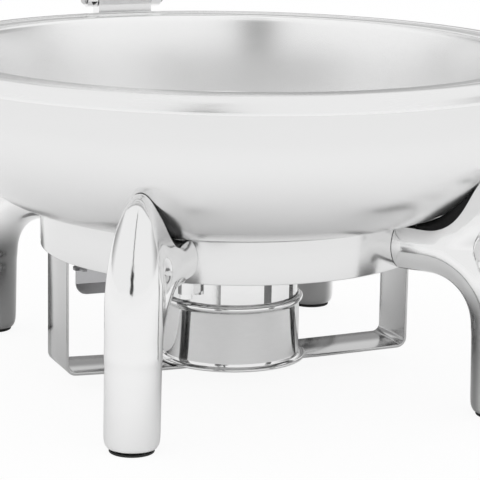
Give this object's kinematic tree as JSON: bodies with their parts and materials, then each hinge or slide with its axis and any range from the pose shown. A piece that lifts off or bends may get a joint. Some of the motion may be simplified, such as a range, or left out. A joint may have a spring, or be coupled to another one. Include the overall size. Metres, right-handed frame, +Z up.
{
  "type": "roll top chafer",
  "caption": "Round stainless steel chafing dish with nested water and food pans on a legged ring stand, fuel burner with a swinging shutter, and a rear-hinged dome cover.",
  "frame": {"origin": "on the pans' axis, at the floor under the feet", "axes": "+Z up along the pans' axis; -Y is the front, where the cover opens; +Y is the rear, where its hinge is; +X is to the right seen from the front, along the burner bracket"},
  "size_m": [0.424, 0.5646, 0.6575],
  "materials": {
    "polished_steel": "mirror-polished stainless steel",
    "brushed_steel_sheet": "fine brushed stainless steel",
    "dark_steel_sheet": "plain stainless sheet, satin",
    "steel_fastener": "plain steel fasteners",
    "rubber": "matt black rubber"
  },
  "bodies": {
    "stand": {"leg_front_left": "polished_steel", "foot_front_left": "rubber", "cradle_pad_front_left": "rubber", "leg_bolt_front_left": "steel_fastener", "leg_washer_front_left": "steel_fastener", "leg_front_right": "polished_steel", "foot_front_right": "rubber", "cradle_pad_front_right": "rubber", "leg_bolt_front_right": "steel_fastener", "leg_washer_front_right": "steel_fastener", "leg_rear_left": "polished_steel", "foot_rear_left": "rubber", "cradle_pad_rear_left": "rubber", "leg_bolt_rear_left": "steel_fastener", "leg_washer_rear_left": "steel_fastener", "leg_rear_right": "polished_steel", "foot_rear_right": "rubber", "cradle_pad_rear_right": "rubber", "leg_bolt_rear_right": "steel_fastener", "leg_washer_rear_right": "steel_fastener", "support_ring": "polished_steel", "burner_bracket": "polished_steel", "burner_cup": "polished_steel", "cup_rivet_left": "steel_fastener", "cup_rivet_right": "steel_fastener"},
    "water_pan": {"water_pan": "brushed_steel_sheet", "hinge_bracket": "polished_steel", "bracket_rivet_left": "steel_fastener", "bracket_rivet_right": "steel_fastener", "hinge_pin": "steel_fastener"},
    "food_pan": {"food_pan": "brushed_steel_sheet"},
    "burner_collar": {"burner_collar": "polished_steel", "shutter_pivot": "polished_steel"},
    "burner_shutter": {"burner_shutter": "dark_steel_sheet"},
    "cover": {"cover": "polished_steel", "cover_handle": "polished_steel", "handle_screw_left": "steel_fastener", "handle_screw_right": "steel_fastener", "hinge_leaf": "polished_steel", "leaf_screw_left": "steel_fastener", "leaf_screw_right": "steel_fastener"}
  },
  "joints": [
    {"name": "water_pan_lift", "type": "slide", "parent": "stand", "child": "water_pan", "axis": [0, 0, 1], "range_m": [0, 0.06]},
    {"name": "food_pan_lift", "type": "slide", "parent": "water_pan", "child": "food_pan", "axis": [0, 0, 1], "range_m": [0, 0.08]},
    {"name": "cover_hinge", "type": "hinge", "parent": "water_pan", "child": "cover", "pos_m": [0, 0.228, 0.222], "axis": [-1, 0, 0], "range_deg": [-90, 0]},
    {"name": "collar_lift", "type": "slide", "parent": "stand", "child": "burner_collar", "axis": [0, 0, 1], "range_m": [0, 0.01]},
    {"name": "shutter_hinge", "type": "hinge", "parent": "burner_collar", "child": "burner_shutter", "pos_m": [-0.04219, -0.02954, 0.0743], "axis": [0, 0, 1], "range_deg": [0, 95]}
  ]
}
